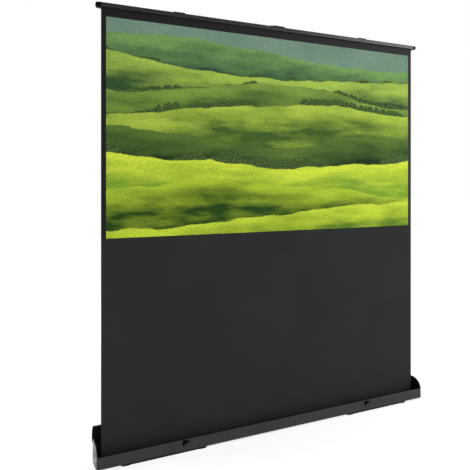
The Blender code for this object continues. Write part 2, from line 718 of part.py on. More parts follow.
def arm_mesh(from_pivot):
    """A flat bar with round ends and three pivot holes. Its origin is one of them."""
    radius = ARM_WIDTH / 2
    outline = arc(ARM_LENGTH, 0, radius, -math.pi / 2, math.pi / 2, 2 * CORNER_STEPS)
    outline += arc(0, 0, radius, math.pi / 2, 1.5 * math.pi, 2 * CORNER_STEPS)
    holes = [circle(x, 0, PIVOT_RADIUS + SEAT) for x in (0, ARM_LENGTH / 2, ARM_LENGTH)]
    return prism([shifted(loop, -from_pivot, 0) for loop in [outline] + holes], 0, ARM_THICKNESS, along_y)


def add_scissors():
    """Two stages of crossed arms. Each pivot has an empty, turned to the arm that hangs on it."""
    middle = (PIVOT_X + RAISED_X) / 2
    up, down = -RAISED_ANGLE, RAISED_ANGLE
    front_y, rear_y = CLOTH_Y + FRONT_PLANE, CLOTH_Y + REAR_PLANE
    half = ARM_LENGTH / 2
    arms = [
        ("lower_arm_front", up, 0, (PIVOT_X, front_y, BASE_PIVOT_HEIGHT)),
        ("lower_arm_rear", down, half, (middle, rear_y, BASE_PIVOT_HEIGHT + STAGE_RISE / 2)),
        ("upper_arm_front", up, 0, (PIVOT_X, front_y, ELBOW_HEIGHT)),
        ("upper_arm_rear", down, ARM_LENGTH, (RAISED_X, rear_y, ELBOW_HEIGHT)),
    ]
    for name, turn, from_pivot, place in arms:
        pivot = empty(f"{name}_pivot", place, turn, axis=1)
        add(name, arm_mesh(from_pivot), PAINTED_ALUMINIUM, parent=pivot)

    head_front = FRONT_PLANE - SEAT - PIN_HEAD
    head_back = FRONT_PLANE - SEAT
    pins = [
        ("elbow_pin_left", PIVOT_X, ELBOW_HEIGHT),
        ("elbow_pin_right", RAISED_X, ELBOW_HEIGHT),
        ("cross_pin_lower", middle, BASE_PIVOT_HEIGHT + STAGE_RISE / 2),
        ("cross_pin_upper", middle, ELBOW_HEIGHT + STAGE_RISE / 2),
    ]
    through = turned(pin_profile(head_front, head_back, PIN_HEAD_RADIUS, PINS_END), along_y)
    first = add(pins[0][0], through, STEEL, (pins[0][1], CLOTH_Y, pins[0][2]))
    for name, x, z in pins[1:]:
        copy_of(first, name, (x, CLOTH_Y, z))
    base = pin_profile(head_front, head_back, PIN_HEAD_RADIUS, REAR_PLANE + RUN / 2 + PIVOT_PLATE)
    add("base_pivot_pin", turned(base, along_y), STEEL, (PIVOT_X, CLOTH_Y, BASE_PIVOT_HEIGHT))
    rear_head = REAR_PLANE - SEAT
    block_back = WHEEL_FRONT + WHEEL_WIDTH
    top = pin_profile(rear_head - BACK_HEAD, rear_head, PIN_HEAD_RADIUS, block_back)
    add("top_pivot_pin", turned(top, along_y), STEEL, (PIVOT_X, CLOTH_Y, TOP_PIVOT_HEIGHT))


def add_wheels():
    """The axles on the sliding ends of the arms and the wheels that run in the rails."""
    journal_end = RAIL_INSIDE - SEAT
    rear_head = REAR_PLANE - SEAT
    base = pin_profile(rear_head - BACK_HEAD, rear_head, PIN_HEAD_RADIUS, PINS_END)[:-1]
    base += [(JOURNAL_RADIUS, PINS_END), (JOURNAL_RADIUS, journal_end), (0, journal_end)]
    add("base_axle", turned(base, along_y), STEEL, (RAISED_X, CLOTH_Y, BASE_PIVOT_HEIGHT))
    collar = FRONT_PLANE + ARM_THICKNESS + SEAT
    top = [
        (0, FRONT_PLANE), (PIVOT_RADIUS, FRONT_PLANE), (PIVOT_RADIUS, collar), (COLLAR_STEP, collar),
        (COLLAR_STEP, PINS_END), (JOURNAL_RADIUS, PINS_END), (JOURNAL_RADIUS, journal_end), (0, journal_end),
    ]
    add("top_axle", turned(top, along_y), STEEL, (RAISED_X, CLOTH_Y, TOP_PIVOT_HEIGHT))
    tread = rectangle(JOURNAL_RADIUS + SEAT, WHEEL_RADIUS, WHEEL_FRONT, WHEEL_FRONT + WHEEL_WIDTH)
    at = (RAISED_X, CLOTH_Y, BASE_PIVOT_HEIGHT)
    wheel = add("base_wheel", turned(tread, along_y, bored=True), NYLON, at)
    copy_of(wheel, "top_wheel", (RAISED_X, CLOTH_Y, TOP_PIVOT_HEIGHT))


def bar_outline():
    """The outside of the bar's section, anticlockwise, without the openings below."""
    return rounded_box(-BAR_FRONT, RAIL_BACK, 0, BAR_HEIGHT, BAR_CORNER)


def bar_section():
    """The bar's section: a box in front with the cloth's keyhole, a slot for the arms and a rail behind."""
    slot = SLOT_WIDTH / 2
    lip = LIP_FRONT + RAIL_LIP_WALL
    inner_top = BAR_HEIGHT - BAR_SKIN
    high, low = BAR_PIVOT + RAIL_HALF, BAR_PIVOT - RAIL_HALF
    mouth = math.asin(slot / KEYHOLE_RADIUS)
    front, back = BAR_CORNER - BAR_FRONT, RAIL_BACK - BAR_CORNER
    crown = BAR_HEIGHT - BAR_CORNER
    outline = arc(front, BAR_CORNER, BAR_CORNER, 1.5 * math.pi, math.pi, CORNER_STEPS)
    outline += arc(front, crown, BAR_CORNER, math.pi, math.pi / 2, CORNER_STEPS)
    outline += arc(back, crown, BAR_CORNER, math.pi / 2, 0, CORNER_STEPS)
    outline += [
        (RAIL_BACK, low - RAIL_WALL),
        (LIP_FRONT, low - RAIL_WALL),
        (LIP_FRONT, low + RAIL_LIP),
        (lip, low + RAIL_LIP),
        (lip, low),
        (RAIL_INSIDE, low),
        (RAIL_INSIDE, high),
        (lip, high),
        (lip, high - RAIL_LIP),
        (LIP_FRONT, high - RAIL_LIP),
        (LIP_FRONT, inner_top),
        (BAR_BOX_BACK, inner_top),
        (BAR_BOX_BACK, 0),
        (slot, 0),
    ]
    start, end = mouth - math.pi / 2, 1.5 * math.pi - mouth
    outline += arc(0, KEYHOLE_HEIGHT, KEYHOLE_RADIUS, start, end, KEYHOLE_STEPS)
    outline += [(-slot, 0)]
    rib = -KEYHOLE_RADIUS - BAR_WALL
    front_hollow = rounded_box(BAR_WALL - BAR_FRONT, rib, BAR_WALL, inner_top, BAR_WALL / 2, 1)
    above = KEYHOLE_HEIGHT + KEYHOLE_RADIUS + BAR_WALL
    upper_hollow = rounded_box(rib + BAR_WALL, BAR_BOX_BACK - BAR_WALL, above, inner_top, BAR_WALL / 2, 1)
    return [outline, front_hollow, upper_hollow]


def add_bar_cap(side, facing):
    """A moulded end, drawn in to a blunt tip near the front, with a spigot in the bar's front hollow."""
    outline = shifted(bar_outline(), CLOTH_Y, BAR_BOTTOM)
    front = CLOTH_Y - BAR_FRONT + CAP_TIP_PLACE_SHARE * (BAR_FRONT + RAIL_BACK)
    middle = BAR_BOTTOM + BAR_HEIGHT / 2

    def scaled(deep, tall):
        return [(front + (u - front) * deep, middle + (v - middle) * tall) for u, v in outline]

    gap = BAR_WALL + SEAT
    back = CLOTH_Y - KEYHOLE_RADIUS - BAR_WALL - SEAT
    spigot = rounded_box(
        CLOTH_Y - BAR_FRONT + gap, back, BAR_BOTTOM + gap, BAR_TOP - BAR_SKIN - SEAT, BAR_WALL / 2, 1
    )
    bm = bmesh.new()
    body = ring(bm, outline, facing * SEAT, along_x)
    shoulder_shape = scaled(CAP_SHOULDER_DEPTH_SHARE, CAP_SHOULDER_HEIGHT_SHARE)
    shoulder = ring(bm, shoulder_shape, facing * BAR_CAP_LENGTH * CAP_SHOULDER_AT_SHARE, along_x)
    tip_shape = scaled(CAP_TIP_DEPTH_SHARE, CAP_TIP_HEIGHT_SHARE)
    tip = ring(bm, tip_shape, facing * BAR_CAP_LENGTH, along_x)
    root = ring(bm, spigot, facing * SEAT, along_x)
    end = ring(bm, spigot, -facing * BAR_CAP_SPIGOT, along_x)
    wall(bm, body, shoulder)
    wall(bm, shoulder, tip)
    wall(bm, root, end)
    cap(bm, tip)
    cap(bm, end)
    cap(bm, body, root)
    add(f"bar_end_cap_{side}", bm, GLOSS_PLASTIC, (facing * BAR_HALF, 0, 0))


def add_top_bar():
    loops = [shifted(loop, CLOTH_Y, BAR_BOTTOM) for loop in bar_section()]
    add("top_bar", prism(loops, -BAR_HALF, BAR_HALF, along_x), BAR_METAL)
    add_bar_cap("left", -1)
    add_bar_cap("right", 1)
    rod = turned(rectangle(0, HEM_ROD_RADIUS, -CLOTH_HALF, CLOTH_HALF), along_x, 2 * CORNER_STEPS)
    add("hem_rod", rod, NYLON, (0, CLOTH_Y, BAR_BOTTOM + KEYHOLE_HEIGHT))
    half = PIVOT_BLOCK_LENGTH / 2
    tall = WHEEL_RADIUS
    block = [rounded_box(-half, half, -tall, tall, BAR_WALL), circle(0, 0, PIVOT_RADIUS + SEAT)]
    at = (PIVOT_X, CLOTH_Y, TOP_PIVOT_HEIGHT)
    add("top_pivot_block", prism(block, WHEEL_FRONT, WHEEL_FRONT + WHEEL_WIDTH, along_y), NYLON, at)
    for side, x in (("left", -BUFFER_X), ("right", BUFFER_X)):
        front = CLOTH_Y - BAR_FRONT + BUFFER_SETBACK
        pad = rounded_box(-BUFFER_LENGTH / 2, BUFFER_LENGTH / 2, 0, BUFFER_WIDTH, BUFFER_WIDTH / 3)
        bm = bmesh.new()
        foot = ring(bm, pad, 0, along_z)
        edge = ring(bm, pad, BUFFER_HEIGHT - BAR_SKIN, along_z)
        top = ring(bm, inset(pad, BAR_SKIN), BUFFER_HEIGHT, along_z)
        wall(bm, foot, edge)
        wall(bm, edge, top)
        cap(bm, foot)
        cap(bm, top)
        add(f"bar_buffer_{side}", bm, RUBBER, (x, front, BAR_TOP + SEAT))


def add_cloth():
    """One sheet, black with a pale coated picture area in front, from the roller up into the bar."""
    low = ROLLER_HEIGHT
    high = BAR_BOTTOM + KEYHOLE_HEIGHT - HEM_ROD_RADIUS - SEAT
    half = CLOTH_THICKNESS / 2
    sheet = rectangle(-half, half, low, high)
    add("screen_cloth", prism([shifted(sheet, CLOTH_Y, 0)], -CLOTH_HALF, CLOTH_HALF, along_x), CLOTH)
    back = -half - SEAT
    top = PICTURE_BOTTOM + PICTURE_HEIGHT
    coating = rectangle(back - COATING_THICKNESS, back, PICTURE_BOTTOM, top)
    wide = PICTURE_WIDTH / 2
    add("picture_surface", prism([shifted(coating, CLOTH_Y, 0)], -wide, wide, along_x), PICTURE)


def bend(start, corner, end, radius):
    """Points round a corner between two straight runs that meet at a right angle."""
    to_start = (Vector(start) - Vector(corner)).normalized()
    to_end = (Vector(end) - Vector(corner)).normalized()
    centre = Vector(corner) + (to_start + to_end) * radius
    points = []
    for i in range(CORNER_STEPS + 1):
        turn = math.pi / 2 * i / CORNER_STEPS
        points.append(tuple(centre - to_end * radius * math.cos(turn) - to_start * radius * math.sin(turn)))
    return points


def add_handle():
    """A pull handle that lies on the bar: a bent rod with a sleeve, hinged in two mounts."""
    pivot = (0, CLOTH_Y + BAIL_PIVOT_BACK, BAR_TOP + BAIL_LIFT)
    side = BAIL_WIDTH / 2
    corners = [
        (BAIL_TAIL - side, 0, 0), (-side, 0, 0), (-side, -BAIL_REACH, 0),
        (side, -BAIL_REACH, 0), (side, 0, 0), (side - BAIL_TAIL, 0, 0),
    ]
    path = [corners[0]]
    for start, corner, end in zip(corners, corners[1:], corners[2:]):
        path += bend(start, corner, end, BAIL_BEND)
    rod_curve("handle_bail", path + [corners[-1]], BAIL_ROD, STEEL, pivot)
    bore = BAIL_ROD + SEAT
    sleeve = rectangle(bore, SLEEVE_RADIUS, -SLEEVE_LENGTH / 2, SLEEVE_LENGTH / 2)
    grip_at = (0, pivot[1] - BAIL_REACH, pivot[2])
    add("handle_sleeve", turned(sleeve, along_x, bored=True), RUBBER, grip_at)

    wide = MOUNT_WIDTH / 2
    base = SEAT - BAIL_LIFT
    crown = MOUNT_HEIGHT - BAIL_LIFT
    outline = rounded_box(-wide, wide, base, crown, BAIL_ROD)
    hole = circle(0, 0, bore, 3 * CORNER_STEPS)
    for name, facing in (("left", -1), ("right", 1)):
        outer = BAIL_ROD + BAIL_BEND
        bm = bmesh.new()
        face = ring(bm, outline, 0, along_x)
        far = ring(bm, outline, -facing * MOUNT_LENGTH, along_x)
        mouth = ring(bm, hole, 0, along_x)
        bottom = ring(bm, hole, -facing * MOUNT_HOLE, along_x)
        wall(bm, face, far)
        wall(bm, mouth, bottom)
        cap(bm, far)
        cap(bm, bottom)
        cap(bm, face, mouth)
        at = (facing * (side - outer), pivot[1], pivot[2])
        add(f"handle_mount_{name}", bm, BLACK_PLASTIC, at)


def lever_outline():
    """A hook that points right: a round hub, straight flanks, a round tip, and a notch open upwards."""
    lean = math.acos((LEVER_HUB - LEVER_TIP) / LEVER_LENGTH)
    notch = KEEPER_NECK + KEEPER_PLAY
    outline = arc(0, 0, LEVER_HUB, lean, math.tau - lean, 3 * CORNER_STEPS)
    open_from = math.asin(notch / LEVER_TIP) + math.pi / 2
    outline += arc(LEVER_LENGTH, 0, LEVER_TIP, -lean, math.pi - open_from, 2 * CORNER_STEPS)
    outline += arc(LEVER_LENGTH, 0, notch, 0, -math.pi, 2 * CORNER_STEPS)
    outline += [(LEVER_LENGTH - notch, LEVER_TIP * math.sin(lean))]
    return outline


def add_latches():
    """A turn hook on a plate near each end of the front wall, which swings up over its stud on the lid."""
    hole = circle(0, 0, LATCH_PIN_RADIUS + SEAT)
    wide, tall = LATCH_PLATE_WIDTH / 2, LATCH_PLATE_HEIGHT / 2
    plate = shifted(rounded_box(-wide, wide, -tall, tall, LEVER_TIP / 2), 0, -LATCH_PLATE_DROP)
    clinch = CASE_WALL + SEAT
    pin = [
        (0, -LATCH_FRONT),
        (LATCH_PIN_HEAD, -LATCH_FRONT),
        (LATCH_PIN_HEAD, -LEVER_FRONT - SEAT),
        (LATCH_PIN_RADIUS, -LEVER_FRONT - SEAT),
        (LATCH_PIN_RADIUS, clinch),
        (LATCH_CLINCH_RADIUS, clinch),
        (LATCH_CLINCH_RADIUS, clinch + LATCH_HEAD_THICKNESS),
        (0, clinch + LATCH_HEAD_THICKNESS),
    ]
    for side, x in (("left", -LATCH_X), ("right", LATCH_X)):
        at = (x, FRONT_Y, LATCH_HEIGHT)
        add(f"latch_plate_{side}", prism([plate, hole], -PLATE_FRONT, -SEAT, along_y), BLACK_PLASTIC, at)
        hook = prism([lever_outline(), hole], -LEVER_FRONT, -PLATE_FRONT - SEAT, along_y)
        add(f"latch_lever_{side}", hook, GLOSS_PLASTIC, at)
        add(f"latch_pin_{side}", turned(pin, along_y), PAINTED_STEEL, at)


def add_feet():
    """Flat feet on rivets under the case, stowed along it, with rubber pads at their ends."""
    top = CASE_UNDERSIDE - RUN
    bottom = top - FOOT_THICKNESS
    half, wide = FOOT_LENGTH / 2, FOOT_WIDTH / 2
    blade = rounded_box(-half, half, -wide, wide, FOOT_CORNER, 2 * CORNER_STEPS)
    pad_wide = wide - PAD_INSET
    pad = rounded_box(0, PAD_LENGTH, -pad_wide, pad_wide, PAD_CORNER, CORNER_STEPS)
    rivet_low = bottom - SEAT - FOOT_RIVET_HEAD_THICKNESS
    head = PIN_HEAD_RADIUS
    rivet_top = FLOOR_TOP + SEAT
    rivet = [
        (0, rivet_low),
        (FOOT_RIVET_HEAD, rivet_low),
        (FOOT_RIVET_HEAD, bottom - SEAT),
        (FOOT_RIVET, bottom - SEAT),
        (FOOT_RIVET, rivet_top),
        (head, rivet_top),
        (head, rivet_top + FOOT_RIVET_HEAD_THICKNESS),
        (0, rivet_top + FOOT_RIVET_HEAD_THICKNESS),
    ]
    y = FRONT_Y + CASE_DEPTH / 2
    for side, x in (("left", -1), ("right", 1)):
        at = (x * FOOT_X, y, 0)
        pivot = empty(f"foot_pivot_{side}", at)
        hole = circle(0, 0, FOOT_RIVET + SEAT)
        add(f"foot_{side}", prism([blade, hole], bottom, top, along_z), PAINTED_STEEL, parent=pivot)
        add(f"foot_rivet_{side}", turned(rivet, along_z), STEEL, at)
        for end, pad_x in (("outer", x * (half - PAD_INSET)), ("inner", -x * (half - PAD_INSET))):
            start = min(pad_x, pad_x - math.copysign(PAD_LENGTH, pad_x))
            solid = prism([shifted(pad, start, 0)], 0, bottom - SEAT, along_z)
            add(f"foot_pad_{side}_{end}", solid, RUBBER, parent=pivot)


add_trough()
add_end_cap("left", -1)
add_end_cap("right", 1)
add_lid()
add_roller()
add_roller_bracket("left", -1, SHAFT_RADIUS + SEAT)
add_roller_bracket("right", 1, STUB_RADIUS + STUB_GAP)
add_base_supports()
add_scissors()
add_wheels()
add_top_bar()
add_cloth()
add_handle()
add_latches()
add_feet()
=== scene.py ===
"""Looks of the pull-up projector screen: cloth, finishes, small fasteners, studio and camera."""

import json
import math

import bmesh
import bpy
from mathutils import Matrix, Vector


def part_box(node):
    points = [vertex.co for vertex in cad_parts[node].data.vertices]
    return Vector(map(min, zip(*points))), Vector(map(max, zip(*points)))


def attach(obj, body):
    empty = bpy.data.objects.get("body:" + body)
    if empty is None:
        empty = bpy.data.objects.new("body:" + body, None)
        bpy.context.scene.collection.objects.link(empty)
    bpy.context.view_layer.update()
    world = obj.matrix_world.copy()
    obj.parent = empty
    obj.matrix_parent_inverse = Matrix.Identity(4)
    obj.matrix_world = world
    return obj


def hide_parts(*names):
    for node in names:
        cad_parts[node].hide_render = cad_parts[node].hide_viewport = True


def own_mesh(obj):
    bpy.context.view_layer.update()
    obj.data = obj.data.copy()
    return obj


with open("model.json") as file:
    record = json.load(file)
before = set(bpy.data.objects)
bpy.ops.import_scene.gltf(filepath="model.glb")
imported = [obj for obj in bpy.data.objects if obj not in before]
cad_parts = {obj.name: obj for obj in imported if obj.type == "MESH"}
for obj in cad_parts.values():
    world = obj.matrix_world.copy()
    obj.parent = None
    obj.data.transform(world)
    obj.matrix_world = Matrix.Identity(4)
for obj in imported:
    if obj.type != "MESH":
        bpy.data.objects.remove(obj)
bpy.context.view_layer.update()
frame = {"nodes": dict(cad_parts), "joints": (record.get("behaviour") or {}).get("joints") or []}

MM = 0.001
SMOOTH_ANGLE = math.radians(35)

# cloth
CLOTH_THICKNESS = 0.35 * MM
PICTURE_WIDTH = 1.771
PICTURE_LOW = 1.0145
PICTURE_HIGH = 2.0105
PRINT_EDGE = 2 * MM  # height over which the printed border sets in
SHEET_STEPS = 96
CLOTH_RIPPLE = 0.35 * MM
RIPPLES = [(7.3, 0, 1.1, 1), (17.1, 2.3, 0, 0.6)]  # pace across, drift on the way up, phase and share
ROLL_TURNS = 3
ROLL_STEPS = 48
ROLL_COLUMNS = 12
ROLL_WALL_SHARE = 0.75  # of the cloth's thickness, so that its turns stay apart

# folds in the projected view, far to near: height of the crest, swing, pace and phase of its wave,
# height of the shrubs behind it, bright tone at the crest and dark tone below
FOLDS = [
    (1.93, 0.030, 3.1, 0.4, 0.000, (0.200, 0.380, 0.110), (0.030, 0.090, 0.050)),
    (1.84, 0.045, 2.3, 2.6, 0.018, (0.420, 0.600, 0.090), (0.035, 0.095, 0.030)),
    (1.73, 0.040, 3.7, 4.4, 0.024, (0.230, 0.380, 0.060), (0.020, 0.055, 0.018)),
    (1.62, 0.055, 2.0, 5.4, 0.034, (0.450, 0.620, 0.070), (0.060, 0.130, 0.022)),
    (1.49, 0.035, 4.1, 1.2, 0.000, (0.110, 0.200, 0.035), (0.012, 0.036, 0.010)),
    (1.40, 0.045, 1.7, 3.0, 0.060, (0.720, 0.860, 0.060), (0.220, 0.400, 0.030)),
    (1.22, 0.060, 2.2, 0.2, 0.000, (0.450, 0.620, 0.040), (0.022, 0.070, 0.008)),
    (1.10, 0.050, 1.9, 4.6, 0.000, (0.600, 0.760, 0.050), (0.110, 0.230, 0.016)),
]
FOLD_DEPTH = 0.14  # from the bright crest down to the dark tone
FOLD_EDGE = 0.006
FOLD_UNREST = 0.10
PATCH_STRETCH = (2.2, 9.0, 1)
SHRUB_DARK = (0.018, 0.045, 0.014)
SHRUB_BRIGHT = (0.110, 0.190, 0.045)
SHRUB_WIDTH = 0.022

# screws
SCREW_RADIUS = 2.6 * MM
SCREW_HEIGHT = 1.3 * MM
SCREW_EDGE = 0.45 * MM
SCREW_STEPS = 24
SLOT_LENGTH = 3.2 * MM
SLOT_WIDTH = 0.7 * MM
SLOT_DEPTH = 0.7 * MM
SINK_RADIUS = 2.8 * MM
SINK_DEPTH = 1.4 * MM
SINK_FLOOR_REACH = 0.02 * MM  # of a point that counts as lying on the floor of a sunk hole
SINK_SPREAD = 2.2 * SINK_RADIUS  # within which the points of one hole lie from its first
RAIL_SCREW_SHARES = (0.08, 0.36, 0.64, 0.92)  # of the rail's length
RAIL_SCREW_INSET = 5 * MM
RAIL_FOOT_THICKNESS = 1.5 * MM
BRACKET_SCREW_INSET = 5 * MM
BRACKET_FOOT_THICKNESS = 2 * MM
PIVOT_SCREW_INSET = 7 * MM
PIVOT_SCREW_SETBACK = 6 * MM

# grip of the pull handle
GRIP_STEPS = 28
RIB_LENGTH = 2.0 * MM
RIB_PITCH = 2.4 * MM
RIB_WALL = 0.6 * MM
RIB_EDGE = 0.2 * MM
CORE_INSET = 0.35 * MM

# pieces whose edges are broken, left and right: node, body, slot of the finish and width of the edge
PAIRS = [
    ("end_cap_{}", "case", "gloss_plastic", 0.25 * MM),
    ("latch_lever_{}", "hook_{}", "gloss_plastic", 0.4 * MM),
    ("latch_plate_{}", "case", "black_plastic", 0.3 * MM),
    ("foot_{}", "foot_{}", "painted_steel", 0.5 * MM),
    ("handle_mount_{}", "bar", "black_plastic", 0.3 * MM),
    ("bar_end_cap_{}", "bar", "gloss_plastic", 0.8 * MM),
]
ARM_EDGE = 0.4 * MM
BRACKET_EDGE = 0.3 * MM
MERGE = 0.001 * MM
FLAT_ANGLE = math.radians(0.5)

# floor and sky
FLOOR_SIZE = 60
FLOOR_GLOW = 0.28
NEAR_LIFT, NEAR_REACH = 0.36, 1.2
FAR_LIFT, FAR_REACH = 0.53, 5.0
HORIZON_LIGHT, HORIZON = 0.50, 0.05
ZENITH_LIGHT, ZENITH = 0.22, 0.6

# lamps: name, place, aim, size and watts
LAMPS = [
    ("key", (3.8, -3.0, 1.9), (0, 0, 1.0), (2.0, 2.4), 120),
    ("fill", (-3.6, -3.0, 1.8), (0, 0, 1.0), (2.0, 2.4), 30),
    ("side", (-3.4, 0.9, 1.2), (-0.9, 0, 0.3), (0.5, 2.0), 14),
    ("back", (0.5, 3.4, 2.4), (0, 0, 0.8), (3.0, 1.6), 30),
]

# camera
PHOTO_PIXELS = 470
FOCAL_PIXELS = 549
SHIFT_PIXELS = 53
SENSOR_WIDTH = 36
CAMERA_X = -1.436
CAMERA_DISTANCE = 2.465  # in front of the cloth
CAMERA_HEIGHT = 1.2685
CAMERA_TURN = math.radians(-25.8)


def centre_of(node):
    low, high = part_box(node)
    return (low + high) / 2


# node trees of the materials and of the world


def put(made, kind, sockets=None, **settings):
    """Adds a node, with its settings and the values of its sockets."""
    node = made.node_tree.nodes.new(kind)
    for name, value in settings.items():
        setattr(node, name, value)
    for name, value in (sockets or {}).items():
        node.inputs[name].default_value = value
    return node


def link(made, output, socket):
    made.node_tree.links.new(output, socket)


def join(made, source, output, target, socket):
    link(made, source.outputs[output], target.inputs[socket])


def worked(made, operation, *values):
    """A sum on numbers and outputs."""
    node = put(made, "ShaderNodeMath", operation=operation)
    for slot, value in enumerate(values):
        if isinstance(value, (int, float)):
            node.inputs[slot].default_value = value
        else:
            link(made, value, node.inputs[slot])
    return node.outputs[0]


def spread(made, value, low, high, start, end, soft=False):
    """Maps a value from one span to another and holds it there."""
    sockets = {"From Min": low, "From Max": high, "To Min": start, "To Max": end}
    node = put(made, "ShaderNodeMapRange", sockets)
    if soft:
        node.interpolation_type = "SMOOTHSTEP"
    link(made, value, node.inputs["Value"])
    return node.outputs[0]


def blended(made, factor, first, second, mode="MIX"):
    """Mixes two colours, each an output or a plain tone, by a factor that is an output or a number."""
    mix = put(made, "ShaderNodeMix", data_type="RGBA", blend_type=mode)
    for slot, value in ((0, factor), (6, first), (7, second)):
        if isinstance(value, float):
            mix.inputs[slot].default_value = value
        elif isinstance(value, tuple):
            mix.inputs[slot].default_value = (*value, 1)
        else:
            link(made, value, mix.inputs[slot])
    return mix.outputs[2]


# finishes


def new_finish(name, colour, roughness, metallic=0.0, others=None):
    made = bpy.data.materials.new(name)
    made.use_nodes = True
    shader = made.node_tree.nodes["Principled BSDF"]
    shader.inputs["Base Color"].default_value = (*colour, 1)
    shader.inputs["Roughness"].default_value = roughness
    shader.inputs["Metallic"].default_value = metallic
    for socket, value in (others or {}).items():
        shader.inputs[socket].default_value = value
    return made, shader


def place_of(made, stretch=(1, 1, 1)):
    """The piece's own coordinates, stretched along its grain."""
    place = put(made, "ShaderNodeTexCoord")
    mapping = put(made, "ShaderNodeMapping", {"Scale": stretch})
    join(made, place, "Object", mapping, "Vector")
    return mapping


def speckle(made, place, scale, detail=4.0, rough=0.6):
    noise = put(made, "ShaderNodeTexNoise", {"Scale": scale, "Detail": detail, "Roughness": rough})
    join(made, place, 0, noise, "Vector")
    return noise


def tint(made, shader, source, dark, light, low=0.3, high=0.7):
    """Lets a pattern move the base colour between two tones."""
    ramp = put(made, "ShaderNodeValToRGB")
    ramp.color_ramp.elements[0].position = low
    ramp.color_ramp.elements[0].color = (*dark, 1)
    ramp.color_ramp.elements[1].position = high
    ramp.color_ramp.elements[1].color = (*light, 1)
    join(made, source, 0, ramp, "Fac")
    join(made, ramp, "Color", shader, "Base Color")


def dull(made, shader, source, low, high):
    """Lets a pattern move the roughness between two values."""
    link(made, spread(made, source.outputs[0], 0, 1, low, high), shader.inputs["Roughness"])


def relief(made, shader, source, strength, distance, under=None):
    """Raises the surface by a pattern, on top of a relief that is already there."""
    bump = put(made, "ShaderNodeBump", {"Strength": strength, "Distance": distance})
    join(made, source, 0, bump, "Height")
    if under:
        join(made, under, "Normal", bump, "Normal")
    join(made, bump, "Normal", shader, "Normal")
    return bump


def extruded_aluminium(name, dark, light, roughness, gleam=0.5):
    """Black anodised aluminium, with fine die lines along its length."""
    made, shader = new_finish(name, dark, roughness, others={"Specular IOR Level": gleam})
    lines = speckle(made, place_of(made, (0.6, 900, 900)), 3.0, 3.0)
    cloud = speckle(made, place_of(made), 9.0, 3.0)
    grit = speckle(made, place_of(made), 1400.0, 2.0)
    tint(made, shader, cloud, dark, light)
    dull(made, shader, lines, roughness - 0.05, roughness + 0.08)
    first = relief(made, shader, lines, 0.10, 0.1 * MM)
    relief(made, shader, grit, 0.12, 0.05 * MM, first)
    return made


def powder_coat(name, dark, light, gleam):
    """Black powder coat with a fine orange peel."""
    made, shader = new_finish(name, dark, 0.42, others={"Specular IOR Level": gleam})
    peel = speckle(made, place_of(made), 900.0, 2.0)
    cloud = speckle(made, place_of(made), 14.0, 4.0)
    tint(made, shader, cloud, dark, light)
    dull(made, shader, cloud, 0.36, 0.48)
    relief(made, shader, peel, 0.25, 0.12 * MM)
    return made


def bare_steel(name, dark, light, roughness, grain):
    """Plated steel, with the marks of turning or rolling."""
    made, shader = new_finish(name, dark, roughness, 1.0)
    marks = speckle(made, place_of(made, grain), 500.0, 3.0)
    cloud = speckle(made, place_of(made), 60.0, 4.0)
    tint(made, shader, cloud, dark, light)
    dull(made, shader, marks, roughness - 0.08, roughness + 0.12)
    relief(made, shader, marks, 0.15, 0.05 * MM)
    return made


def gloss_moulding():
    """Polished black moulding with faint sink marks and hairline scratches."""
    others = {"Coat Weight": 0.35, "Coat Roughness": 0.06}
    made, shader = new_finish("gloss_black_moulding", (0.010, 0.010, 0.011), 0.16, others=others)
    sink = speckle(made, place_of(made), 22.0, 1.0)
    hair = speckle(made, place_of(made, (90, 1, 1)), 40.0, 6.0, 0.75)
    tint(made, shader, sink, (0.009, 0.009, 0.010), (0.013, 0.013, 0.014))
    dull(made, shader, hair, 0.11, 0.24)
    relief(made, shader, sink, 0.12, 0.3 * MM)
    return made


def matt_moulding():
    """Black moulding with a fine eroded grain."""
    others = {"Specular IOR Level": 0.04}
    made, shader = new_finish("matt_black_moulding", (0.002, 0.002, 0.002), 0.52, others=others)
    grain = speckle(made, place_of(made), 2200.0, 3.0)
    cloud = speckle(made, place_of(made), 40.0, 3.0)
    tint(made, shader, cloud, (0.0010, 0.0010, 0.0010), (0.0035, 0.0035, 0.0035))
    dull(made, shader, cloud, 0.46, 0.58)
    relief(made, shader, grain, 0.35, 0.10 * MM)
    return made


def soft_rubber():
    others = {"Specular IOR Level": 0.20}
    made, shader = new_finish("black_rubber", (0.006, 0.006, 0.006), 0.80, others=others)
    dust = speckle(made, place_of(made), 160.0, 5.0, 0.7)
    pores = speckle(made, place_of(made), 3000.0, 2.0)
    tint(made, shader, dust, (0.005, 0.005, 0.005), (0.016, 0.016, 0.015), 0.45, 0.85)
    dull(made, shader, dust, 0.72, 0.90)
    relief(made, shader, pores, 0.3, 0.10 * MM)
    return made


def natural_nylon():
    others = {"Subsurface Weight": 0.15, "Subsurface Scale": 2 * MM}
    made, shader = new_finish("natural_nylon", (0.62, 0.61, 0.56), 0.45, others=others)
    flow = speckle(made, place_of(made, (1, 1, 4)), 70.0, 3.0)
    tint(made, shader, flow, (0.56, 0.55, 0.50), (0.68, 0.67, 0.62))
    dull(made, shader, flow, 0.38, 0.52)
    relief(made, shader, flow, 0.08, 0.2 * MM)
    return made


def sheet_place(made):
    """Metres along and up the cloth as it was cut, from its own map, and each of the two by itself."""
    place = put(made, "ShaderNodeUVMap", uv_map="cut")
    split = put(made, "ShaderNodeSeparateXYZ")
    join(made, place, 0, split, "Vector")
    return place, split.outputs["X"], split.outputs["Y"]


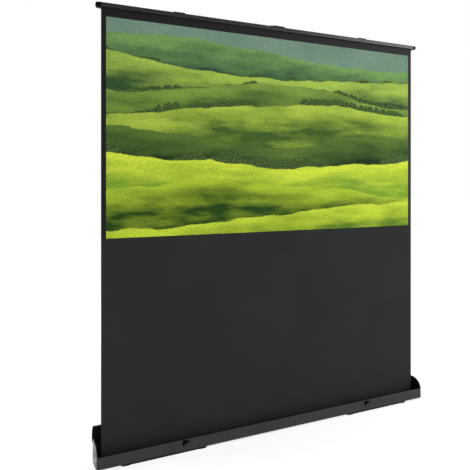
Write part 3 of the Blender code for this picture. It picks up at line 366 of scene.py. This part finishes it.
def weave(made, shader, place, depth):
    """A plain weave: two sets of threads, and a slow unevenness of the coating over them."""
    threads = []
    for direction in ("X", "Y"):
        wave = put(made, "ShaderNodeTexWave", {"Scale": 900.0, "Distortion": 0.4, "Detail": 1.0},
                   bands_direction=direction)
        join(made, place, 0, wave, "Vector")
        threads.append(wave)
    crossed = put(made, "ShaderNodeMath", operation="MULTIPLY")
    join(made, threads[0], 1, crossed, 0)
    join(made, threads[1], 1, crossed, 1)
    uneven = speckle(made, place, 7.0, 3.0)
    first = relief(made, shader, crossed, depth, 0.06 * MM)
    relief(made, shader, uneven, 0.10, 1.2 * MM, first)


def black_cloth():
    """Matt black cloth below the picture, and a printed satin border round it."""
    made, shader = new_finish("black_screen_cloth", (0.0280, 0.0280, 0.0285), 0.80)
    place, _, up = sheet_place(made)
    printed = spread(made, up, PICTURE_LOW - PRINT_EDGE, PICTURE_LOW, 0, 1)
    cloud = spread(made, speckle(made, place, 2.5, 4.0).outputs[0], 0.3, 0.7, 0, 1)
    bare = blended(made, cloud, (0.0255, 0.0255, 0.0258), (0.0310, 0.0310, 0.0314))
    border = blended(made, cloud, (0.0030, 0.0027, 0.0030), (0.0050, 0.0046, 0.0050))
    link(made, blended(made, printed, bare, border), shader.inputs["Base Color"])
    both = {"Specular IOR Level": (0.07, 0.27), "Roughness": (0.80, 0.62), "Sheen Weight": (0, 0.02)}
    for socket, (below, round_picture) in both.items():
        link(made, spread(made, printed, 0, 1, below, round_picture), shader.inputs[socket])
    weave(made, shader, place, 0.35)
    return made


def shrub_rows(made, place, across):
    """Height of the shrubs as a share, from round crowns that stand in groves, and their tone."""
    crowns = put(made, "ShaderNodeTexVoronoi", {"Scale": 1 / SHRUB_WIDTH, "Randomness": 0.9},
                 voronoi_dimensions="1D")
    link(made, across, crowns.inputs["W"])
    crown = worked(made, "SUBTRACT", 1.0, worked(made, "POWER", crowns.outputs["Distance"], 2.0))
    groves = spread(made, speckle(made, place, 3.3, 2.0).outputs[0], 0.47, 0.58, 0, 1, soft=True)
    leaves = spread(made, speckle(made, place, 130.0, 4.0).outputs[0], 0.4, 0.6, 0, 1)
    return worked(made, "MULTIPLY", crown, groves), blended(made, leaves, SHRUB_DARK, SHRUB_BRIGHT)


def fold_tone(made, place, below, corner, bright, dark):
    """A fold's tone: bright at its crest, dark below, and uneven in patches drawn out along it."""
    stretched = put(made, "ShaderNodeMapping", {"Scale": PATCH_STRETCH, "Location": corner})
    join(made, place, 0, stretched, "Vector")
    patches = speckle(made, stretched, 1.6, 5.0, 0.55).outputs[0]
    deep = spread(made, below, 0, FOLD_DEPTH, 0, 0.9)
    uneven = spread(made, patches, 0.35, 0.65, -0.3, 0.3)
    return blended(made, worked(made, "ADD", deep, uneven), bright, dark)


def picture_coating():
    """The projected view: broad folds of green one before the other, under a pale far band."""
    others = {"Specular IOR Level": 0.10}
    made, shader = new_finish("picture_coating", (0.3, 0.45, 0.12), 0.75, others=others)
    place, across, up = sheet_place(made)
    unrest = speckle(made, place, 2.6, 6.0, 0.55).outputs[0]
    shrub_share, shrub = shrub_rows(made, place, across)
    colour = blended(made, unrest, (0.085, 0.190, 0.120), (0.300, 0.430, 0.330))
    for crest, swing, pace, phase, shrubs, bright, dark in FOLDS:
        swell = worked(made, "SINE", worked(made, "MULTIPLY_ADD", across, pace, phase))
        rough = worked(made, "MULTIPLY_ADD", unrest, FOLD_UNREST, crest - FOLD_UNREST / 2)
        edge = worked(made, "MULTIPLY_ADD", swell, swing, rough)
        below = worked(made, "SUBTRACT", edge, up)
        if shrubs:
            tops = worked(made, "ADD", below, worked(made, "MULTIPLY", shrub_share, shrubs))
            colour = blended(made, spread(made, tops, 0, FOLD_EDGE, 0, 1), colour, shrub)
        body = fold_tone(made, place, below, (phase, crest, 0), bright, dark)
        colour = blended(made, spread(made, below, 0, FOLD_EDGE, 0, 1, soft=True), colour, body)
    leaves = spread(made, speckle(made, place, 95.0, 6.0, 0.75).outputs[0], 0.35, 0.65, 0.62, 1.18)
    link(made, blended(made, 0.7, colour, leaves, "MULTIPLY"), shader.inputs["Base Color"])
    weave(made, shader, place, 0.15)
    return made


CASE = extruded_aluminium("case_black_anodised", (0.017, 0.017, 0.018), (0.024, 0.024, 0.025), 0.33)
# The lid's finish is a much darker copy of the case's: painted shade for the shadowed inside of the open lid
LID_PAINTED_SHADE = extruded_aluminium("lid_anodised_painted_shade", (0.0040, 0.0040, 0.0042), (0.0070, 0.0070, 0.0073), 0.40, 0.20)
# The top bar's finish is a darker copy of the case's: painted shade that dims the bar
BAR_PAINTED_SHADE = extruded_aluminium("bar_anodised_painted_shade", (0.013, 0.013, 0.014), (0.019, 0.019, 0.020), 0.33)
PAINT = powder_coat("foot_powder_coat", (0.010, 0.010, 0.011), (0.017, 0.017, 0.018), 0.35)
ARM = powder_coat("arm_powder_coat", (0.034, 0.034, 0.035), (0.048, 0.048, 0.050), 0.6)
STEEL = bare_steel("zinc_plated_steel", (0.46, 0.46, 0.47), (0.60, 0.60, 0.60), 0.30, (1, 1, 1))
SPRING = bare_steel("oiled_spring_steel", (0.20, 0.19, 0.18), (0.30, 0.29, 0.27), 0.30, (4, 1, 1))
TUBE = bare_steel("drawn_roller_tube", (0.50, 0.50, 0.51), (0.58, 0.58, 0.58), 0.34, (0.02, 1, 1))
GLOSS = gloss_moulding()
MATT = matt_moulding()
RUBBER = soft_rubber()
NYLON = natural_nylon()
BLACK_CLOTH = black_cloth()
PICTURE = picture_coating()

FINISHES = {
    CASE: ["case_trough"],
    LID_PAINTED_SHADE: ["lid_shell"],
    BAR_PAINTED_SHADE: ["top_bar"],
    PAINT: ["foot_left", "foot_right"],
    ARM: ["lower_arm_front", "lower_arm_rear", "upper_arm_front", "upper_arm_rear"],
    STEEL: [
        "base_axle", "base_pivot_bracket", "base_pivot_pin", "base_rail", "cross_pin_lower",
        "cross_pin_upper", "elbow_pin_left", "elbow_pin_right", "foot_rivet_left", "foot_rivet_right",
        "handle_bail", "lid_keeper_left", "lid_keeper_right", "roller_bracket_left",
        "roller_bracket_right", "spring_collar", "spring_shaft", "top_axle", "top_pivot_pin",
    ],
    SPRING: ["roller_spring"],
    TUBE: ["roller_tube"],
    GLOSS: ["end_cap_left", "end_cap_right"],
    MATT: [
        "bar_end_cap_left", "bar_end_cap_right", "handle_mount_left", "handle_mount_right",
        "latch_lever_left", "latch_lever_right", "latch_pin_left", "latch_pin_right",
        "latch_plate_left", "latch_plate_right",
    ],
    RUBBER: [
        "bar_buffer_left", "bar_buffer_right", "foot_pad_left_inner", "foot_pad_left_outer",
        "foot_pad_right_inner", "foot_pad_right_outer", "handle_sleeve",
    ],
    NYLON: [
        "base_wheel", "hem_rod", "roller_plug_left", "roller_plug_right", "top_pivot_block", "top_wheel",
    ],
    BLACK_CLOTH: ["rolled_cloth", "screen_cloth"],
    PICTURE: ["picture_surface"],
}
for finish, names in FINISHES.items():
    for name in names:
        for slot in frame["nodes"][name].material_slots:
            slot.material = finish


# modelling helpers


def start_fresh():
    if bpy.context.mode != "OBJECT":
        bpy.ops.object.mode_set(mode="OBJECT")
    bpy.ops.object.select_all(action="DESELECT")


def only(piece):
    """Makes a piece the one that the next operators act on."""
    start_fresh()
    piece.select_set(True)
    bpy.context.view_layer.objects.active = piece


def settle(piece, name, finish):
    """Names a piece, puts its place in its mesh and gives it its finish."""
    only(piece)
    bpy.ops.object.transform_apply(location=True, rotation=True, scale=True)
    piece.name = piece.data.name = name
    piece.data.materials.clear()
    piece.data.materials.append(finish)
    return piece


def bevelled(piece, width, segments=2, angle=30):
    only(piece)
    edge = piece.modifiers.new("edges", "BEVEL")
    edge.width = width
    edge.segments = segments
    edge.limit_method = "ANGLE"
    edge.angle_limit = math.radians(angle)
    bpy.ops.object.modifier_apply(modifier=edge.name)
    bpy.ops.object.shade_smooth_by_angle(angle=SMOOTH_ANGLE)


def thicken(piece, thickness, offset=0):
    """Gives a sheet its wall, on both sides or, with an offset of -1, inwards."""
    only(piece)
    wall = piece.modifiers.new("wall", "SOLIDIFY")
    wall.thickness = thickness
    wall.offset = offset
    bpy.ops.object.modifier_apply(modifier=wall.name)


def copy_to(piece, name, move, turn=None):
    """A copy with its own mesh, turned about the world's origin and then moved."""
    made = piece.copy()
    made.data = piece.data.copy()
    made.name = made.data.name = name
    bpy.context.scene.collection.objects.link(made)
    if turn:
        made.rotation_euler = turn
    made.location = move
    only(made)
    bpy.ops.object.transform_apply(location=True, rotation=True, scale=True)
    return made


def softened(node, body, width):
    """The CAD piece with its flat faces joined up and its edges broken, in place of the plain one."""
    source = frame["nodes"][node]
    made = source.copy()
    made.data = source.data.copy()
    made.parent = None
    for key in list(made.keys()):
        del made[key]
    bpy.context.scene.collection.objects.link(made)
    made.name = made.data.name = f"{node}_edged"
    only(made)
    bpy.ops.object.mode_set(mode="EDIT")
    bpy.ops.mesh.select_all(action="SELECT")
    bpy.ops.mesh.remove_doubles(threshold=MERGE)
    bpy.ops.mesh.dissolve_limited(angle_limit=FLAT_ANGLE)
    bpy.ops.object.mode_set(mode="OBJECT")
    bevelled(made, width)
    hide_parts(node)
    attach(made, body)


# cloth


def cut_map(piece, place):
    """Writes the cloth's own map, from where each point lay on the flat sheet, in metres."""
    layer = piece.data.uv_layers.new(name="cut")
    for loop in piece.data.loops:
        layer.data[loop.index].uv = place(piece.data.vertices[loop.vertex_index].co)


def cut_round_picture(sheet):
    """Runs edges through the sheet along the four sides of the picture."""
    half = PICTURE_WIDTH / 2
    cuts = [
        ((-half, 0, 0), (1, 0, 0)), ((half, 0, 0), (1, 0, 0)),
        ((0, 0, PICTURE_LOW), (0, 0, 1)), ((0, 0, PICTURE_HIGH), (0, 0, 1)),
    ]
    only(sheet)
    bpy.ops.object.mode_set(mode="EDIT")
    for place, normal in cuts:
        bpy.ops.mesh.select_all(action="SELECT")
        bpy.ops.mesh.bisect(plane_co=place, plane_no=normal)
    bpy.ops.object.mode_set(mode="OBJECT")


def coat_picture(sheet):
    """Gives the picture's finish to the faces that lie in it, in front."""
    sheet.data.materials.append(PICTURE)
    for face in sheet.data.polygons:
        centre = face.center
        inside = abs(centre.x) < PICTURE_WIDTH / 2 and PICTURE_LOW < centre.z < PICTURE_HIGH
        if inside and face.normal.y < -0.5:
            face.material_index = 1


def hang_sheet():
    """The stretched sheet: black all round, with the coated picture area in front."""
    low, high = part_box("screen_cloth")
    size = high - low
    start_fresh()
    bpy.ops.mesh.primitive_grid_add(
        x_subdivisions=SHEET_STEPS, y_subdivisions=SHEET_STEPS, size=1,
        location=(low + high) / 2, rotation=(math.pi / 2, 0, 0),
    )
    sheet = bpy.context.object
    sheet.scale = (size.x, size.z, 1)
    settle(sheet, "hung_sheet", BLACK_CLOTH)
    cut_round_picture(sheet)
    cut_map(sheet, lambda co: (co.x + size.x / 2, co.z))
    for point in sheet.data.vertices:
        x, up = point.co.x, (point.co.z - low.z) / size.z
        free = math.sin(math.pi * min(max(up, 0), 1))
        slow = sum(share * math.sin(pace * x + drift * up + phase) for pace, drift, phase, share in RIPPLES)
        point.co.y += CLOTH_RIPPLE * free * slow
    thicken(sheet, CLOTH_THICKNESS)
    coat_picture(sheet)
    bpy.ops.object.shade_smooth_by_angle(angle=SMOOTH_ANGLE)
    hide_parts("screen_cloth", "picture_surface")
    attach(sheet, "case")
    keep = (lowered_top(high.z) - low.z) / size.z
    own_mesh(sheet)


def lowered_top(top):
    """Height of the cloth's top edge once the arms are folded down."""
    arm = centre_of("elbow_pin_right") - centre_of("base_pivot_pin")
    arm.y = 0
    fold = next(joint for joint in frame["joints"] if joint["name"] == "fold")
    raised = math.atan2(arm.z, arm.x)
    folded = raised - math.radians(max(fold["range_deg"]))
    return top - 2 * arm.length * (math.sin(raised) - math.sin(folded))


def wind_turns():
    """The turns of cloth that stay on the roller: one spiral sheet that ends where the hung sheet starts."""
    low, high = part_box("rolled_cloth")
    middle = (low + high) / 2
    tube_low, tube_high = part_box("roller_tube")
    inner = (tube_high.z - tube_low.z) / 2 + CLOTH_THICKNESS
    outer = centre_of("screen_cloth").y - middle.y
    count = ROLL_TURNS * ROLL_STEPS
    columns = [low.x + (high.x - low.x) * k / ROLL_COLUMNS for k in range(ROLL_COLUMNS + 1)]
    bm = bmesh.new()
    rows, lengths, length = [], [], 0.0
    for i in range(count + 1):
        share = i / count
        radius = outer + (inner - outer) * share
        turn = -math.tau * ROLL_TURNS * share
        y, z = middle.y + radius * math.cos(turn), middle.z + radius * math.sin(turn)
        rows.append([bm.verts.new((x, y, z)) for x in columns])
        lengths.append(length)
        length += math.tau * ROLL_TURNS / count * radius
    layer = bm.loops.layers.uv.new("cut")
    for i in range(count):
        for k in range(ROLL_COLUMNS):
            face = bm.faces.new([rows[i][k], rows[i][k + 1], rows[i + 1][k + 1], rows[i + 1][k]])
            marks = [lengths[i], lengths[i], lengths[i + 1], lengths[i + 1]]
            for loop, mark in zip(face.loops, marks):
                loop[layer].uv = (loop.vert.co.x - low.x, low.z - mark)
    bmesh.ops.recalc_face_normals(bm, faces=bm.faces[:])
    mesh = bpy.data.meshes.new("roller_turns")
    bm.to_mesh(mesh)
    bm.free()
    turns = bpy.data.objects.new("roller_turns", mesh)
    bpy.context.scene.collection.objects.link(turns)
    mesh.materials.append(BLACK_CLOTH)
    thicken(turns, ROLL_WALL_SHARE * CLOTH_THICKNESS)
    bpy.ops.object.shade_smooth_by_angle(angle=SMOOTH_ANGLE)
    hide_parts("rolled_cloth")
    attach(turns, "roller")


# screws


def make_screw():
    """A pan-head screw with a cross recess, head up, standing on the origin."""
    start_fresh()
    bpy.ops.mesh.primitive_cylinder_add(
        vertices=SCREW_STEPS, radius=SCREW_RADIUS, depth=SCREW_HEIGHT, location=(0, 0, SCREW_HEIGHT / 2)
    )
    head = settle(bpy.context.object, "screw_head", STEEL)
    bevelled(head, SCREW_EDGE, segments=3, angle=60)
    for turn in (0, math.pi / 2):
        start_fresh()
        bpy.ops.mesh.primitive_cube_add(size=1, location=(0, 0, SCREW_HEIGHT), rotation=(0, 0, turn))
        blade = bpy.context.object
        blade.scale = (SLOT_LENGTH, SLOT_WIDTH, 2 * SLOT_DEPTH)
        only(blade)
        bpy.ops.object.transform_apply(location=True, rotation=True, scale=True)
        only(head)
        recess = head.modifiers.new("recess", "BOOLEAN")
        recess.operation = "DIFFERENCE"
        recess.solver = "EXACT"
        recess.object = blade
        bpy.ops.object.modifier_apply(modifier=recess.name)
        bpy.data.objects.remove(blade, do_unlink=True)
    only(head)
    bpy.ops.object.shade_smooth_by_angle(angle=SMOOTH_ANGLE)
    return head


def floor_screw_places():
    """Names and places of the screws that hold the rail and the brackets to the floor of the case."""
    places = []
    low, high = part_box("base_rail")
    for share in RAIL_SCREW_SHARES:
        x = low.x + (high.x - low.x) * share
        place = (x, low.y + RAIL_SCREW_INSET, low.z + RAIL_FOOT_THICKNESS)
        places.append((f"rail_screw_{len(places)}", place))
    for side in ("left", "right"):
        low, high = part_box(f"roller_bracket_{side}")
        x = low.x + BRACKET_SCREW_INSET if side == "left" else high.x - BRACKET_SCREW_INSET
        place = (x, (low.y + high.y) / 2, low.z + BRACKET_FOOT_THICKNESS)
        places.append((f"bracket_screw_{side}", place))
    low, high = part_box("base_pivot_bracket")
    for x in (low.x + PIVOT_SCREW_INSET, high.x - PIVOT_SCREW_INSET):
        place = (x, high.y - PIVOT_SCREW_SETBACK, low.z + BRACKET_FOOT_THICKNESS)
        places.append((f"pivot_screw_{len(places)}", place))
    return places


def add_floor_screws():
    pattern = make_screw()
    for name, place in floor_screw_places():
        screw = copy_to(pattern, name, place)
        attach(screw, "case")
    bpy.data.objects.remove(pattern, do_unlink=True)


def cap_holes(side):
    """Centres of an end cap's screw holes, from the rings of points on its sink floors."""
    node = frame["nodes"][f"end_cap_{side}"]
    low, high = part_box(f"end_cap_{side}")
    floor_x = low.x + SINK_DEPTH if side == "left" else high.x - SINK_DEPTH
    points = [node.matrix_world @ v.co for v in node.data.vertices]
    groups = []
    for point in points:
        if abs(point.x - floor_x) >= SINK_FLOOR_REACH:
            continue
        for group in groups:
            if (group[0] - point).length < SINK_SPREAD:
                group.append(point)
                break
        else:
            groups.append([point])
    centres = []
    for group in groups:
        ys, zs = [p.y for p in group], [p.z for p in group]
        centres.append(((min(ys) + max(ys)) / 2, (min(zs) + max(zs)) / 2))
    return centres


def add_cap_screws():
    """Black screws that sit in the sunk holes of the end caps."""
    pattern = make_screw()
    for side, outward in (("left", -1), ("right", 1)):
        low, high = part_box(f"end_cap_{side}")
        face = low.x if outward < 0 else high.x
        for index, (y, z) in enumerate(cap_holes(side)):
            place = (face - outward * SINK_DEPTH, y, z)
            screw = copy_to(pattern, f"cap_screw_{side}_{index}", place, (0, outward * math.pi / 2, 0))
            screw.data.materials[0] = PAINT
            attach(screw, "case")
    bpy.data.objects.remove(pattern, do_unlink=True)


# grip


def grip_tube(name, radius, length, place):
    """An open rubber tube along X."""
    start_fresh()
    bpy.ops.mesh.primitive_cylinder_add(
        vertices=GRIP_STEPS, radius=radius, depth=length, end_fill_type="NOTHING",
        location=place, rotation=(0, math.pi / 2, 0),
    )
    return settle(bpy.context.object, name, RUBBER)


def add_grip():
    """The ribbed rubber grip on the pull handle: a row of ribs on a thin core."""
    low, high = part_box("handle_sleeve")
    middle = (low + high) / 2
    length = high.x - low.x
    radius = (high.z - low.z) / 2
    count = int(length / RIB_PITCH)
    start = middle.x - (count - 1) * RIB_PITCH / 2
    grip = grip_tube("handle_grip", radius, RIB_LENGTH, (start, middle.y, middle.z))
    bpy.ops.object.mode_set(mode="EDIT")
    bpy.ops.mesh.select_all(action="SELECT")
    bpy.ops.mesh.normals_make_consistent(inside=False)
    bpy.ops.object.mode_set(mode="OBJECT")
    thicken(grip, RIB_WALL, offset=-1)
    bevelled(grip, RIB_EDGE, angle=60)
    ribs = grip.modifiers.new("ribs", "ARRAY")
    ribs.count = count
    ribs.use_relative_offset = False
    ribs.use_constant_offset = True
    ribs.constant_offset_displace = (RIB_PITCH, 0, 0)
    bpy.ops.object.modifier_apply(modifier=ribs.name)
    core = grip_tube("grip_core", radius - CORE_INSET, length, middle)
    thicken(core, RIB_WALL / 2, offset=-1)
    only(grip)
    core.select_set(True)
    bpy.ops.object.join()
    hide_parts("handle_sleeve")
    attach(grip, "handle")


# studio


def add_floor():
    """A white floor that glows, lifted to plain white for the camera where nothing shades it."""
    start_fresh()
    bpy.ops.mesh.primitive_plane_add(size=FLOOR_SIZE, location=(0, 0, 0))
    floor = bpy.context.object
    floor.name = "studio_floor"
    others = {"Specular IOR Level": 0, "Emission Color": (1, 1, 1, 1)}
    made, shader = new_finish("floor_paint", (0.90, 0.90, 0.90), 0.9, others=others)
    place = put(made, "ShaderNodeTexCoord")
    reach = put(made, "ShaderNodeVectorMath", operation="LENGTH")
    join(made, place, "Object", reach, 0)
    lift = spread(made, reach.outputs["Value"], NEAR_REACH, FAR_REACH, NEAR_LIFT, FAR_LIFT)
    path = put(made, "ShaderNodeLightPath")
    glow = worked(made, "MULTIPLY_ADD", path.outputs["Is Camera Ray"], lift, FLOOR_GLOW)
    link(made, glow, shader.inputs["Emission Strength"])
    floor.data.materials.append(made)


def add_world():
    """Soft light from round the horizon, weaker overhead, and plain white past the object."""
    world = bpy.data.worlds.new("studio")
    world.use_nodes = True
    bpy.context.scene.world = world
    around = world.node_tree.nodes["Background"]
    around.inputs["Color"].default_value = (1, 1, 1, 1)
    place = put(world, "ShaderNodeTexCoord")
    split = put(world, "ShaderNodeSeparateXYZ")
    join(world, place, "Generated", split, "Vector")
    fall = spread(world, split.outputs["Z"], HORIZON, ZENITH, HORIZON_LIGHT, ZENITH_LIGHT)
    link(world, fall, around.inputs["Strength"])
    white = put(world, "ShaderNodeBackground", {"Color": (1, 1, 1, 1)})
    path = put(world, "ShaderNodeLightPath")
    seen = worked(world, "MAXIMUM", path.outputs["Is Camera Ray"], path.outputs["Is Transmission Ray"])
    mix = put(world, "ShaderNodeMixShader")
    for slot, output in enumerate((seen, around.outputs[0], white.outputs[0])):
        link(world, output, mix.inputs[slot])
    join(world, mix, 0, world.node_tree.nodes["World Output"], "Surface")


def add_lamp(name, place, target, size, power):
    lamp = bpy.data.lights.new(name, "AREA")
    lamp.shape = "RECTANGLE"
    lamp.size, lamp.size_y = size
    lamp.energy = power
    made = bpy.data.objects.new(name, lamp)
    made.location = place
    made.rotation_euler = (Vector(target) - Vector(place)).to_track_quat("-Z", "Y").to_euler()
    bpy.context.scene.collection.objects.link(made)


def add_camera():
    """The photograph's own view: level, from the left, with the frame shifted down."""
    lens = bpy.data.cameras.new("view")
    lens.sensor_width = SENSOR_WIDTH
    lens.lens = FOCAL_PIXELS / PHOTO_PIXELS * SENSOR_WIDTH
    lens.shift_y = -SHIFT_PIXELS / PHOTO_PIXELS
    camera = bpy.data.objects.new("view", lens)
    camera.location = (CAMERA_X, centre_of("screen_cloth").y - CAMERA_DISTANCE, CAMERA_HEIGHT)
    camera.rotation_euler = (math.pi / 2, 0, CAMERA_TURN)
    bpy.context.scene.collection.objects.link(camera)
    bpy.context.scene.camera = camera


hang_sheet()
wind_turns()
add_floor_screws()
add_cap_screws()
add_grip()
for side in ("left", "right"):
    for node, body, slot, width in PAIRS:
        softened(node.format(side), body.format(side), width)
for level in ("lower", "upper"):
    for plane in ("front", "rear"):
        softened(f"{level}_arm_{plane}", f"arm_{level}_{plane}", ARM_EDGE)
softened("base_pivot_bracket", "case", BRACKET_EDGE)

add_floor()
add_world()
for lamp in LAMPS:
    add_lamp(*lamp)
add_camera()
bpy.context.scene.view_settings.view_transform = "Standard"

start_fresh()
